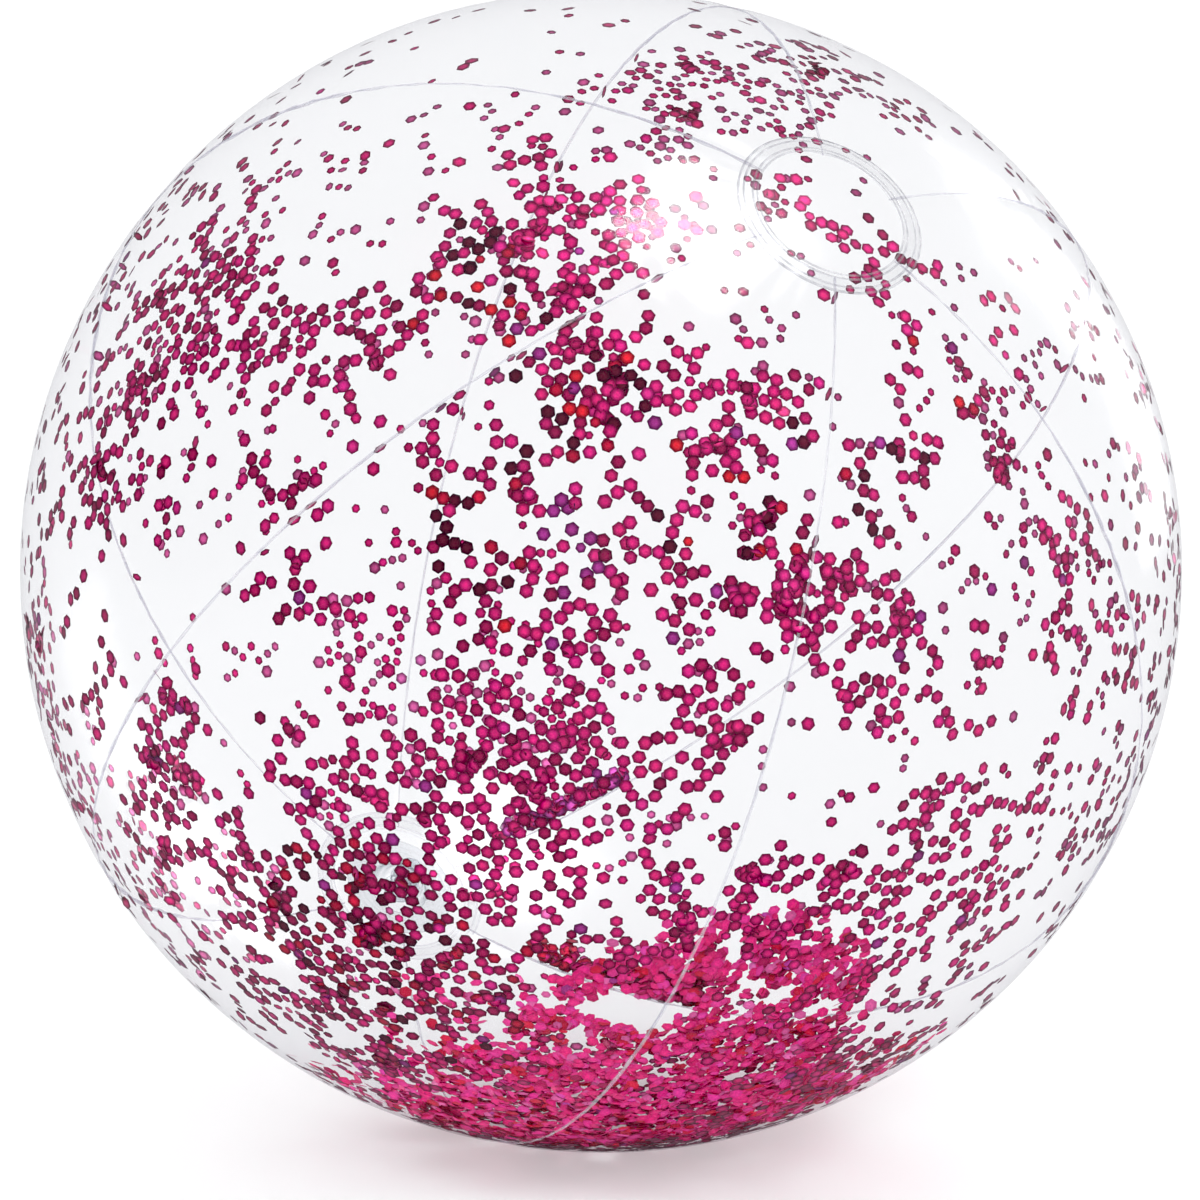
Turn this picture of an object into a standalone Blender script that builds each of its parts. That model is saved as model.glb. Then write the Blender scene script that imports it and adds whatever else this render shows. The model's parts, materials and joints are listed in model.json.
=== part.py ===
"""Inflatable beach ball: six clear film panels, two end caps, a push-in valve and loose glitter.

Metres, +Z up. The origin is the middle of the small flat patch that the inflated ball rests on.
The wall is modelled about its own pole axis, which the empty ball_centre leans over. The valve is
modelled about the empty valve_mouth, whose +Z points out of the ball through the lower end cap.
"""

import math

import bmesh
import bpy
from mathutils import Matrix, Vector

MM = 0.001
GAP = 0.3 * MM  # air between neighbouring pieces

# Ball wall
BALL_R = 255 * MM  # outside radius of the inflated film
FILM = 0.3 * MM  # film thickness
PANEL_COUNT = 6
POLE_LEAN = math.radians(45)  # the pole axis leans from +Z toward -Y
FIRST_SEAM = math.radians(9.7)  # longitude of one seam about the pole axis
PANEL_END = math.radians(7.5)  # angle from the pole at which a panel stops under its end cap
FIN = 2.5 * MM  # depth of the welded lips that point into the ball
REST_R = 28 * MM  # radius of the flat patch under the ball
REST_DEPTH = BALL_R - math.sqrt(BALL_R**2 - REST_R**2)
CENTRE_Z = BALL_R - REST_DEPTH

# End caps: discs of film welded over the panels' ends by two raised rings
CAP_END = math.radians(9.3)
CAP_FILM = 0.4 * MM
CAP_IN = BALL_R + GAP
CAP_OUT = CAP_IN + CAP_FILM
WELD_HEIGHT = 0.3 * MM
WELD_RINGS = ((0.78, 0.85), (0.92, 1.0))  # each ring's inner and outer edge, in cap radii
WELD_SLOPE = 0.01  # how far each ring's side leans, in cap radii

# Valve, about its own axis, from the outside of the lower end cap inward
RECESS_R = 14.5 * MM  # the hole in the cap that the valve sinks into
FLANGE_R = 26 * MM
FLANGE_THICK = 0.8 * MM
STEM_R = 6 * MM
BORE_R = 4 * MM
STEM_LONG = 18 * MM
RIM_R = 7.5 * MM
RIM_THICK = 1.2 * MM
GRIP_RING_R = 7 * MM
GRIP_RING_TOP = 8.6 * MM  # depth of the ring that the collar holds the stem by
GRIP_RING_THICK = 1 * MM
COLLAR_THICK = 0.6 * MM
COLLAR_TOP = 1.4 * MM
COLLAR_DEEP = 6.4 * MM
STRAP_WIDE = 4 * MM
STRAP_WAIST = 0.8  # its narrowest width, as a share of its full width
STRAP_THICK = 0.8 * MM
STRAP_LOW = 0.25 * MM  # the strap's underside, from its hinge
STRAP_ARCH = 0.25 * MM
STRAP_HINGE_X = 11.2 * MM  # the strap's living hinge, from the valve's axis
STRAP_HINGE_Z = 0.2 * MM
TAB_OVERLAP = 1 * MM  # how far the strap's tab reaches into the stem's rim
TAB_TOP = -0.1 * MM
TAB_CORNER = 0.8 * MM
PLUG_HEAD_R = 6.4 * MM
PLUG_HEAD_THICK = 1.6 * MM
PLUG_HEAD_EDGE = 0.5 * MM
PLUG_DOME = 0.5 * MM
PLUG_DOME_RINGS = ((0.55, 0.7), (0.88, 0))  # radius in head radii, height in dome heights
PLUG_LONG = 6 * MM
PLUG_TAPER = 1.2  # 1 would just clear the bore's rim as the plug swings out
FLAP_R = 5.4 * MM
FLAP_THICK = 0.6 * MM
FLAP_HINGE_X = 6 * MM

# Loose glitter, settled in a thin lens on the bottom of the ball
HEAP_SPREAD = math.radians(30)  # from straight down to the lens's edge
HEAP_CLEAR = FIN + 1 * MM  # it lies clear of the welded lips
HEAP_THICK = 2.4 * MM
HEAP_EDGE = 0.6 * MM

# Fineness
PANEL_ROWS = 22
PANEL_COLUMNS = 8
PATCH_STEPS = 4  # on each side of the flat patch's middle
TURN_STEPS = 32
CAP_STEPS = 3
FLANGE_STEPS = 3
CURVE_STEPS = 8
PIN_STEPS = 5


def clear_scene():
    for obj in list(bpy.data.objects):
        bpy.data.objects.remove(obj, do_unlink=True)


def material(name, colour, roughness, metallic=0.0, alpha=1.0):
    made = bpy.data.materials.new(name)
    made.use_nodes = True
    shader = made.node_tree.nodes["Principled BSDF"]
    shader.inputs["Base Color"].default_value = (*colour, 1.0)
    shader.inputs["Roughness"].default_value = roughness
    shader.inputs["Metallic"].default_value = metallic
    shader.inputs["Alpha"].default_value = alpha
    return made


def empty(name, matrix, parent=None):
    obj = bpy.data.objects.new(name, None)
    obj.empty_display_size = 10 * MM
    bpy.context.scene.collection.objects.link(obj)
    obj.parent = parent
    obj.matrix_local = matrix
    return obj


def finish(name, bm, look, parent, sharp_deg=35):
    """Turn a bmesh into a named, smooth shaded object under its parent."""
    bmesh.ops.recalc_face_normals(bm, faces=bm.faces)
    mesh = bpy.data.meshes.new(name)
    bm.to_mesh(mesh)
    bm.free()
    mesh.shade_smooth()
    mesh.set_sharp_from_angle(angle=math.radians(sharp_deg))
    mesh.materials.append(look)
    obj = bpy.data.objects.new(name, mesh)
    bpy.context.scene.collection.objects.link(obj)
    obj.parent = parent
    return obj


def sphere_point(radius, down, longitude):
    """A point at an angle down from +Z, at a longitude about Z."""
    across = radius * math.sin(down)
    return Vector((across * math.cos(longitude), across * math.sin(longitude), radius * math.cos(down)))


def turned(name, outline, look, parent, steps=TURN_STEPS):
    """A closed solid from a closed outline of (radius, height), turned about Z."""
    bm = bmesh.new()
    points = [bm.verts.new((radius, 0, height)) for radius, height in outline]
    edges = [bm.edges.new((a, b)) for a, b in zip(points, points[1:] + points[:1])]
    edges = [edge for edge in edges if any(v.co.x > 0 for v in edge.verts)]
    bmesh.ops.spin(bm, geom=points + edges, cent=(0, 0, 0), axis=(0, 0, 1), angle=math.tau, steps=steps)
    bmesh.ops.remove_doubles(bm, verts=bm.verts, dist=0.001 * MM)
    loose = [edge for edge in bm.edges if not edge.link_faces]
    bmesh.ops.delete(bm, geom=loose, context="EDGES")
    return finish(name, bm, look, parent)


def box_mesh(name, low, high):
    """A box with rounded upright edges, which a Boolean adds as a tab."""
    bm = bmesh.new()
    size = Vector(high) - Vector(low)
    middle = (Vector(high) + Vector(low)) / 2
    bmesh.ops.create_cube(bm, size=1.0, matrix=Matrix.Translation(middle) @ Matrix.Diagonal((*size, 1)))
    upright = [e for e in bm.edges if abs(e.verts[0].co.z - e.verts[1].co.z) > size.z / 2]
    bmesh.ops.bevel(bm, geom=upright, offset=TAB_CORNER, segments=2, profile=0.5, affect="EDGES")
    mesh = bpy.data.meshes.new(name)
    bmesh.ops.recalc_face_normals(bm, faces=bm.faces)
    bm.to_mesh(mesh)
    bm.free()
    return mesh


def add_tab(obj, low, high):
    """Join a rounded tab to an object with a Boolean union."""
    tab = bpy.data.objects.new(obj.name + "_tab", box_mesh(obj.name + "_tab", low, high))
    bpy.context.scene.collection.objects.link(tab)
    tab.parent = obj.parent
    tab.hide_render = True
    tab.display_type = "WIRE"
    union = obj.modifiers.new("tab", "BOOLEAN")
    union.operation = "UNION"
    union.solver = "EXACT"
    union.object = tab


# Ball wall


def rest_direction():
    """Straight down, in the wall's own leaning frame."""
    return Matrix.Rotation(-POLE_LEAN, 3, "X") @ Vector((0, 0, -1))


def flattened(point, depth):
    """The point, pushed up to the flat patch if it would reach below it."""
    down = rest_direction()
    reach = point.dot(down)
    limit = BALL_R - REST_DEPTH - depth
    return point + (limit - reach) * down if reach > limit else point


def grid_lines(first, last, count, middle, fine_reach):
    """Even steps from first to last, with finer ones around the flat patch."""
    lines = [first + (last - first) * i / count for i in range(count + 1)]
    if not first < middle < last:
        return lines
    fine = [middle + fine_reach * i / PATCH_STEPS for i in range(-PATCH_STEPS, PATCH_STEPS + 1)]
    apart = fine_reach / PATCH_STEPS / 2
    coarse = [x for x in lines if abs(x - middle) > fine_reach + apart or x in (first, last)]
    return sorted(coarse + fine)


def panel_section(down, columns, west, east):
    """One ring of points around a panel's cross-section: film outside, lip, film inside, lip."""
    across = BALL_R * math.sin(down)
    edge = math.asin(GAP / 2 / across)
    lip = math.asin((GAP / 2 + FILM) / across)
    outer = [min(max(x, west + edge), east - edge) for x in columns]
    inner = [min(max(x, west + lip), east - lip) for x in columns]
    inside = BALL_R - FILM
    tip = BALL_R - FIN
    ring = [flattened(sphere_point(BALL_R, down, x), 0) for x in outer]
    ring += [sphere_point(tip, down, east - edge), sphere_point(tip, down, east - lip)]
    ring += [flattened(sphere_point(inside, down, x), FILM) for x in reversed(inner)]
    ring += [sphere_point(tip, down, west + lip), sphere_point(tip, down, west + edge)]
    return ring


def panel(number, look, parent):
    """One gore of the wall, its long edges turned in as the lips of the welded seams."""
    west = FIRST_SEAM + math.tau / PANEL_COUNT * (number - 1)
    east = west + math.tau / PANEL_COUNT
    down = rest_direction()
    rest_down = math.acos(down.z)
    rest_longitude = west + (math.atan2(down.y, down.x) - west) % math.tau
    reach = math.asin(REST_R / BALL_R)
    middle_row = rest_down if west < rest_longitude < east else -1  # no fine rows without a patch
    rows = grid_lines(PANEL_END, math.pi - PANEL_END, PANEL_ROWS, middle_row, reach)
    columns = grid_lines(west, east, PANEL_COLUMNS, rest_longitude, reach / math.sin(rest_down))
    bm = bmesh.new()
    rings = []
    for row in rows:
        rings.append([bm.verts.new(p) for p in panel_section(row, columns, west, east)])
    for upper, lower in zip(rings, rings[1:]):
        for a, b, c, d in zip(upper, upper[1:] + upper[:1], lower[1:] + lower[:1], lower):
            bm.faces.new((a, b, c, d))
    last = len(columns) - 1
    for ring in (rings[0], rings[-1]):
        for i in range(last):
            bm.faces.new((ring[i], ring[i + 1], ring[2 * last + 2 - i], ring[2 * last + 3 - i]))
        bm.faces.new(ring[last : last + 4])
        bm.faces.new((ring[0], ring[2 * last + 3], ring[2 * last + 4], ring[2 * last + 5]))
    return finish(f"panel_{number}", bm, look, parent)


def cap_outline(hole_r):
    """(radius, height) points round an end cap's section, its pole up, with the raised weld rings."""
    start = math.asin(hole_r / CAP_OUT)
    first_ring = WELD_RINGS[0][0] * CAP_END
    plain = [start + (first_ring - start) * i / CAP_STEPS for i in range(CAP_STEPS)]
    outside = [(angle, CAP_OUT) for angle in plain]
    slope = WELD_SLOPE * CAP_END
    for inner, outer in WELD_RINGS:
        low, high = inner * CAP_END, outer * CAP_END
        outside += [(low, CAP_OUT), (low + slope, CAP_OUT + WELD_HEIGHT)]
        outside += [(high - slope, CAP_OUT + WELD_HEIGHT), (high, CAP_OUT)]
    inside = [(CAP_END, CAP_IN), (first_ring, CAP_IN)] + [(angle, CAP_IN) for angle in reversed(plain)]
    return [(radius * math.sin(angle), radius * math.cos(angle)) for angle, radius in outside + inside]


# Valve


def flange_outline():
    outside = BALL_R
    inside = BALL_R - FLANGE_THICK
    radii = [RECESS_R + (FLANGE_R - RECESS_R) * i / FLANGE_STEPS for i in range(FLANGE_STEPS + 1)]
    top = [(r, math.sqrt(outside**2 - r**2) - CAP_OUT) for r in radii]
    bottom = [(r, math.sqrt(inside**2 - r**2) - CAP_OUT) for r in reversed(radii)]
    return top + bottom


def collar_outline():
    """A thin funnel from the flange's inner edge down to the ring that it holds the stem by."""
    start = RECESS_R - GAP - COLLAR_THICK / 2
    end = STEM_R + GAP + COLLAR_THICK / 2
    middle = []
    for i in range(CURVE_STEPS + 1):
        share = i / CURVE_STEPS
        middle.append((start + (end - start) * share, -COLLAR_TOP - COLLAR_DEEP * (1 - (1 - share) ** 2)))
    upper, lower = [], []
    for i, (radius, height) in enumerate(middle):
        before, after = middle[max(i - 1, 0)], middle[min(i + 1, CURVE_STEPS)]
        along = Vector((after[0] - before[0], after[1] - before[1])).normalized()
        side = Vector((-along.y, along.x)) * COLLAR_THICK / 2
        upper.append((radius + side.x, height + side.y))
        lower.append((radius - side.x, height - side.y))
    return upper + lower[::-1]


def stem_outline():
    ring_low = GRIP_RING_TOP + GRIP_RING_THICK
    return [
        (BORE_R, 0),
        (RIM_R, 0),
        (RIM_R, -RIM_THICK),
        (STEM_R, -RIM_THICK),
        (STEM_R, -GRIP_RING_TOP),
        (GRIP_RING_R, -GRIP_RING_TOP),
        (GRIP_RING_R, -ring_low),
        (STEM_R, -ring_low),
        (STEM_R, -STEM_LONG),
        (BORE_R, -STEM_LONG),
    ]


def plug_outline():
    """A domed head on a pin that narrows fast enough to swing out of the bore about the strap's hinge."""
    head = GAP + PLUG_HEAD_THICK
    outline = [(0, head + PLUG_DOME)]
    outline += [(PLUG_HEAD_R * share, head + PLUG_DOME * height) for share, height in PLUG_DOME_RINGS]
    outline += [(PLUG_HEAD_R, head - PLUG_HEAD_EDGE), (PLUG_HEAD_R, GAP)]
    widest = BORE_R - GAP
    swing = 2 * (STRAP_HINGE_X + BORE_R)
    for i in range(PIN_STEPS + 1):
        depth = PLUG_LONG * i / PIN_STEPS
        outline.append((widest - PLUG_TAPER * (depth + STRAP_HINGE_Z) ** 2 / swing, GAP - depth))
    outline.append((0, GAP - PLUG_LONG - PLUG_DOME))
    return outline


def strap(look, parent):
    """The band between the plug's head and its living hinge, about that hinge."""
    start = PLUG_HEAD_R + GAP - STRAP_HINGE_X
    half = STRAP_WIDE / 2
    bm = bmesh.new()
    sides = []
    for x, width, arch in ((start, half, 0), (start / 2, half * STRAP_WAIST, STRAP_ARCH), (0, half, 0)):
        low = STRAP_LOW + arch
        high = low + STRAP_THICK
        corners = ((x, -width, low), (x, width, low), (x, width, high), (x, -width, high))
        sides.append([bm.verts.new(corner) for corner in corners])
    for near, far in zip(sides, sides[1:]):
        for a, b, c, d in zip(near, near[1:] + near[:1], far[1:] + far[:1], far):
            bm.faces.new((a, b, c, d))
    bm.faces.new(sides[0])
    bm.faces.new(sides[-1])
    return finish("plug_strap", bm, look, parent)


def valve(film, soft, valve_mouth):
    turned("valve_flange", flange_outline(), film, valve_mouth)
    turned("valve_collar", collar_outline(), soft, valve_mouth)
    stem = turned("valve_stem", stem_outline(), soft, valve_mouth)
    half = STRAP_WIDE / 2
    add_tab(stem, (RIM_R - TAB_OVERLAP, -half, -RIM_THICK), (STRAP_HINGE_X, half, TAB_TOP))

    plug_hinge = empty("plug_hinge", Matrix.Translation((STRAP_HINGE_X, 0, STRAP_HINGE_Z)), valve_mouth)
    strap(soft, plug_hinge)
    plug = turned("valve_plug", plug_outline(), soft, plug_hinge)
    plug.location = (-STRAP_HINGE_X, 0, -STRAP_HINGE_Z)

    flap_top = -STEM_LONG - GAP
    flap_hinge = empty("flap_hinge", Matrix.Translation((-FLAP_HINGE_X, 0, flap_top)), valve_mouth)
    flap_outline = [(0, 0), (FLAP_R, 0), (FLAP_R, -FLAP_THICK), (0, -FLAP_THICK)]
    flap = turned("check_flap", flap_outline, soft, flap_hinge)
    flap.location = (FLAP_HINGE_X, 0, 0)


# Glitter


def heap_outline():
    """(radius, height) points of the settled glitter, about the ball's centre, straight down."""
    outer, inner = [], []
    for i in range(CURVE_STEPS + 1):
        share = i / CURVE_STEPS
        angle = HEAP_SPREAD * share
        low = BALL_R - HEAP_CLEAR
        high = low - HEAP_EDGE - (HEAP_THICK - HEAP_EDGE) * (1 - share**2)
        outer.append((low * math.sin(angle), -low * math.cos(angle)))
        inner.append((high * math.sin(angle), -high * math.cos(angle)))
    return outer + inner[::-1]


def main():
    clear_scene()
    film = material("clear_film", (0.95, 0.97, 0.98), 0.08, alpha=0.3)
    soft = material("clear_valve", (0.90, 0.92, 0.94), 0.2, alpha=0.6)
    glitter = material("magenta_glitter", (0.72, 0.02, 0.28), 0.3, metallic=0.6)

    lean = Matrix.Translation((0, 0, CENTRE_Z)) @ Matrix.Rotation(POLE_LEAN, 4, "X")
    ball_centre = empty("ball_centre", lean)
    for number in range(1, PANEL_COUNT + 1):
        panel(number, film, ball_centre)
    turned("upper_end_cap", cap_outline(0), film, ball_centre)
    lower = turned("lower_end_cap", cap_outline(RECESS_R), film, ball_centre)
    lower.rotation_euler = (math.pi, 0, 0)

    outward = Matrix.Translation((0, 0, -CAP_OUT)) @ Matrix.Rotation(math.pi, 4, "X")
    valve_mouth = empty("valve_mouth", outward, ball_centre)
    valve(film, soft, valve_mouth)

    heap = turned("glitter_heap", heap_outline(), glitter, None)
    heap.location = (0, 0, CENTRE_Z)
    bpy.context.view_layer.update()


main()
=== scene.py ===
import json
import math
import random

import bpy
import numpy as np
from mathutils import Matrix, Vector, noise

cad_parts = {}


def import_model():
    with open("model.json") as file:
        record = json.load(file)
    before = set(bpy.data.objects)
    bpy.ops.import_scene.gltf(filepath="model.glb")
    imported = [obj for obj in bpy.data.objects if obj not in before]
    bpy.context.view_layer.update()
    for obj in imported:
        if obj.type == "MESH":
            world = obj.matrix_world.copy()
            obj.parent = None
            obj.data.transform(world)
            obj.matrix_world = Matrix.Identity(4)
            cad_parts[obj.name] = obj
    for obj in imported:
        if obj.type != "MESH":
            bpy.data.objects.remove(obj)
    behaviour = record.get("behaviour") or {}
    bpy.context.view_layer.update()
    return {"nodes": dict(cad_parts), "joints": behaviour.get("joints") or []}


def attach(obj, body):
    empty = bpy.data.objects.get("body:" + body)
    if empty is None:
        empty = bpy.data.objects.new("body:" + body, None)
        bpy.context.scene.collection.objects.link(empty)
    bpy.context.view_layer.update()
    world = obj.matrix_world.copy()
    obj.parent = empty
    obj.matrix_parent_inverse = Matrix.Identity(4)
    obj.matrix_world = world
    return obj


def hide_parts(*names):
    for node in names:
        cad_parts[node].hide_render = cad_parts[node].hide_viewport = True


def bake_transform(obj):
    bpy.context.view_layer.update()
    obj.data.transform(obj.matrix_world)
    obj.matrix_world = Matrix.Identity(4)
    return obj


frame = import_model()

MM = 0.001
JOINTS = {joint["name"]: joint for joint in frame["joints"]}

# Where the ball is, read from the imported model
CENTRE = Vector(JOINTS["glitter_rock"]["pos_m"])
POLE = -Vector(JOINTS["valve_pop"]["axis"]).normalized()
EAST = Vector((1, 0, 0))
BALL = Matrix.Translation(CENTRE) @ Matrix((EAST, POLE.cross(EAST), POLE)).transposed().to_4x4()
TO_BALL = BALL.inverted()
BALL_R = max((v.co - CENTRE).length for v in frame["nodes"]["panel_1"].data.vertices)
DOWN = TO_BALL.to_3x3() @ Vector((0, 0, -1))

# The wall: gores of film with welded lips turned into the ball
PANELS = 6
FILM = 0.3 * MM
LIP = 1.5 * MM
LIP_RIPPLE, LIP_RIPPLE_LONG = 0.35 * MM, 3.1 * MM  # height, and seam length for each radian
LIP_SWAY, LIP_SWAYS = 0.5 * MM, 9  # height, and radians for each radian down the ball
SEAM_GAP = 0.1 * MM
PANEL_END = math.radians(7.5)
PANEL_ROWS = 200
PANEL_COLUMNS = 36
VALLEY_DEPTH = 0.7 * MM
VALLEY_WIDE = 6 * MM
PUCKER_HIGH = 0.28 * MM
PUCKER_WIDE = 13 * MM
PUCKER_LONG = 17 * MM
CAP_RAYS = 26
CAP_RAY_HIGH = 0.2 * MM
CAP_RAY_LONG = math.radians(3.0)
SLACK = 0.25 * MM

# The end caps
CAP_END = math.radians(9.3)
CAP_IN = BALL_R + 0.3 * MM
CAP_OUT = CAP_IN + 0.4 * MM
WELD_RINGS = ((0.78, 0.85), (0.92, 1.0))  # shares of CAP_END
BEAD_HALF = 0.5 * MM
BEAD_HIGH = 0.36 * MM
RING_HIGH = 0.08 * MM
CAP_STEPS = 120
RECESS_R = 14.5 * MM

# The valve, about its own axis; its hinges come from the joints
HINGE_LIFT = 0.2 * MM
HINGE_X = JOINTS["plug_swing"]["pos_m"][0]
MOUTH_HEIGHT = HINGE_LIFT + (Vector(JOINTS["plug_swing"]["pos_m"]) - CENTRE).dot(POLE)
MOUTH = CENTRE + POLE * MOUTH_HEIGHT
VALVE = Matrix.Translation(MOUTH) @ Matrix((EAST, -POLE.cross(EAST), -POLE)).transposed().to_4x4()
FLANGE_R = 26 * MM
FLANGE_GAP = 0.05 * MM
FLANGE_THICK = 0.8 * MM
FLANGE_RINGS = 0.12 * MM
COLLAR_FROM, COLLAR_TO = RECESS_R - 0.3 * MM, 6.3 * MM
COLLAR_TOP = -1.1 * MM
COLLAR_DEEP = 6.7 * MM
COLLAR_FOLD = 0.22 * MM
STRAP_FROM = 6.5 * MM
STRAP_LIFT = HINGE_LIFT + 0.65 * MM
STRAP_ARCH = 0.35 * MM
STRAP_STEPS, STRAP_SIDES = 16, 16
# Outlines in millimetres: radius, and height above the stem's mouth
STEM_OUTLINE = [(4.0, 0.0), (7.5, 0.0), (7.5, -1.2), (6.0, -1.2), (6.0, -8.6), (7.0, -8.6)]
STEM_OUTLINE += [(7.0, -9.6), (6.0, -9.6), (6.0, -18.0), (4.0, -18.0)]
STRAP_TAB = ((6.9 * MM, -2 * MM, -1.15 * MM), (HINGE_X, 2 * MM, -0.15 * MM))
PLUG_HEAD = [(0, 2.4), (1.6, 2.36), (3.2, 2.22), (4.4, 2.02), (4.7, 1.72), (5.2, 1.72)]
PLUG_HEAD += [(5.5, 1.86), (6.4, 1.5), (6.4, 0.3)]
PIN_R, PIN_TOP, PIN_LONG, PIN_STEPS = 3.7, 0.3, 6.0, 8
PIN_END = [(1.6, -6.0), (0, -6.2)]
FLAP_OUTLINE = [(0, -18.3), (5.4, -18.3), (5.4, -18.75), (4.6, -18.9), (3.6, -18.75), (0, -18.75)]

# Flakes on the film
FLAKE_R = 3.2 * MM  # centre to corner
FLAKE_THICK = 0.1 * MM
FLAKE_DISH = 0.1 * MM
FLAKE_SIZES = (0.94, 1.04)
FINE_SIZE = 0.74  # the finer flakes, which lie mostly on the far side
FINE_SIDE = (148, -8)
WALL_SEED = 36
FILM_GAP = 0.25 * MM
WALL_TILT = math.radians(5)
VALVE_CLEAR = 16 * MM  # no flakes nearer the valve's axis than this
FLANGE_CLEAR = 29 * MM  # nearer than this they lie on its flange, and so further in
FLANGE_LIFT = 1.2 * MM
CLOSEST = 1.45  # between flakes, in flake radii
STACKED = 0.06  # the share of closer spots that are taken all the same
CHAIN_LENGTH = 4.5  # flakes settle in short chains: flakes in one, turn in radians, and step
CHAIN_TURN = 0.9
CHAIN_STEP = (1.5, 2.0)  # in flake radii
SEAM_EMPTY = 0.45  # the share of spots at a seam where no flake leans on its lip
LEAN_REACH = 1.05 * FLAKE_R
LEAN_OUT = 0.75 * MM
SWEPT = 0.2  # the loose flakes sweep the film lower than this, in ball radii below its middle
CLUMPS_AT = Vector((29, 31, 20))  # where the noise that clumps the flakes is read
CLUMP_MIDDLE, CLUMP_GAIN = 0.95, 1.3
CLUMP_LEAST, CLUMP_MOST = 0.12, 2.2

# Piles of flakes on the film, and the loose heap
CLOTS = 60
CLOT_R = 6 * MM
CLOT_LAYERS = (5, 13)
CLOT_CLEAR = math.radians(30)  # from the bottom, where the heap lies
CLOT_LIFT = 0.5 * MM
CLOT_STEP = 0.22 * MM
LOW_CLOT_STEP = 0.1 * MM  # where the loose flakes slide over them
CLOT_TILT = math.radians(16)
LEDGE_TILT = math.radians(20)
HEAP_SEED = 23
HEAP_FLAKES = 4600
HEAP_LIFT = 3.1 * MM  # clear of the seams' lips
HEAP_THICK = 2.6 * MM
HEAP_TILT = math.radians(18)
HEAP_TILT_MOST = math.radians(35)
HEAP_GAP = 0.3 * MM
HEAP_RIM_SHADE = 0.25  # how much painted shade darkens its flakes' rims, where those on the film have 1


# -------- meshes


def smooth(mesh, degrees=40):
    """Shade a mesh smoothly, with edges sharper than the angle kept."""
    mesh.shade_smooth()
    mesh.set_sharp_from_angle(angle=math.radians(degrees))


def linked(name, data):
    """A new object in the scene, from a mesh, a light or a camera."""
    obj = bpy.data.objects.new(name, data)
    bpy.context.scene.collection.objects.link(obj)
    return obj


def piece(name, points, faces, looks, place=None, slots=None):
    """A mesh object from points and faces, with one material for each of its slots."""
    mesh = bpy.data.meshes.new(name)
    mesh.from_pydata([tuple(p) for p in points], [], faces)
    for look in looks:
        mesh.materials.append(look)
    if slots is not None:
        mesh.polygons.foreach_set("material_index", slots)
    if place is not None:
        mesh.transform(place)
    mesh.validate()
    smooth(mesh)
    return linked(name, mesh)


def turned(name, outline, looks, place, steps=96, slot_of=None):
    """A closed solid of revolution about Z from a closed outline of (radius, height)."""
    points, rings = [], []
    for radius, height in outline:
        if radius < 1e-7:
            rings.append([len(points)])
            points.append((0, 0, height))
            continue
        ring = []
        for i in range(steps):
            angle = math.tau * i / steps
            ring.append(len(points))
            points.append((radius * math.cos(angle), radius * math.sin(angle), height))
        rings.append(ring)
    faces, slots = [], []
    for number, (a, b) in enumerate(zip(rings, rings[1:] + rings[:1])):
        slot = slot_of(number) if slot_of else 0
        if len(a) == 1 and len(b) == 1:
            continue
        for i in range(steps):
            j = (i + 1) % steps
            quad = [a[i % len(a)], a[j % len(a)], b[j % len(b)], b[i % len(b)]]
            faces.append(list(dict.fromkeys(quad)))
            slots.append(slot)
    obj = piece(name, points, faces, looks, place, slots)
    face_out(obj)
    return obj


def face_out(obj):
    """Turn a closed mesh's faces outward if they look inward."""
    mesh = obj.data
    mesh.calc_loop_triangles()
    points = np.empty(len(mesh.vertices) * 3)
    mesh.vertices.foreach_get("co", points)
    triangles = np.empty(len(mesh.loop_triangles) * 3, int)
    mesh.loop_triangles.foreach_get("vertices", triangles)
    corners = points.reshape(-1, 3)[triangles.reshape(-1, 3)]
    if np.einsum("ij,ij->i", corners[:, 0], np.cross(corners[:, 1], corners[:, 2])).sum() < 0:
        mesh.flip_normals()


def lofted(sections):
    """The points and faces of a closed skin over equal rings of points, with flat ends."""
    count = len(sections[0])
    points = [point for section in sections for point in section]
    faces = []
    for row in range(len(sections) - 1):
        for i in range(count):
            a, b = row * count + i, row * count + (i + 1) % count
            faces.append((a, b, b + count, a + count))
    last = (len(sections) - 1) * count
    return points, faces + [list(range(count))[::-1], [last + i for i in range(count)]]


def rounded(outline, radius, steps=4):
    """The closed outline with its corners rounded where its sides leave room."""
    out = []
    count = len(outline)
    for i in range(count):
        before, here, after = (Vector(outline[(i + k) % count]) for k in (-1, 0, 1))
        if here.x < 1e-7:
            out.append(tuple(here))
            continue
        reach = min(radius, (before - here).length * 0.45, (after - here).length * 0.45)
        start = here + (before - here).normalized() * reach
        end = here + (after - here).normalized() * reach
        for k in range(steps + 1):
            t = k / steps
            out.append(tuple((1 - t) ** 2 * start + 2 * t * (1 - t) * here + t**2 * end))
    return out


# -------- materials


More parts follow.
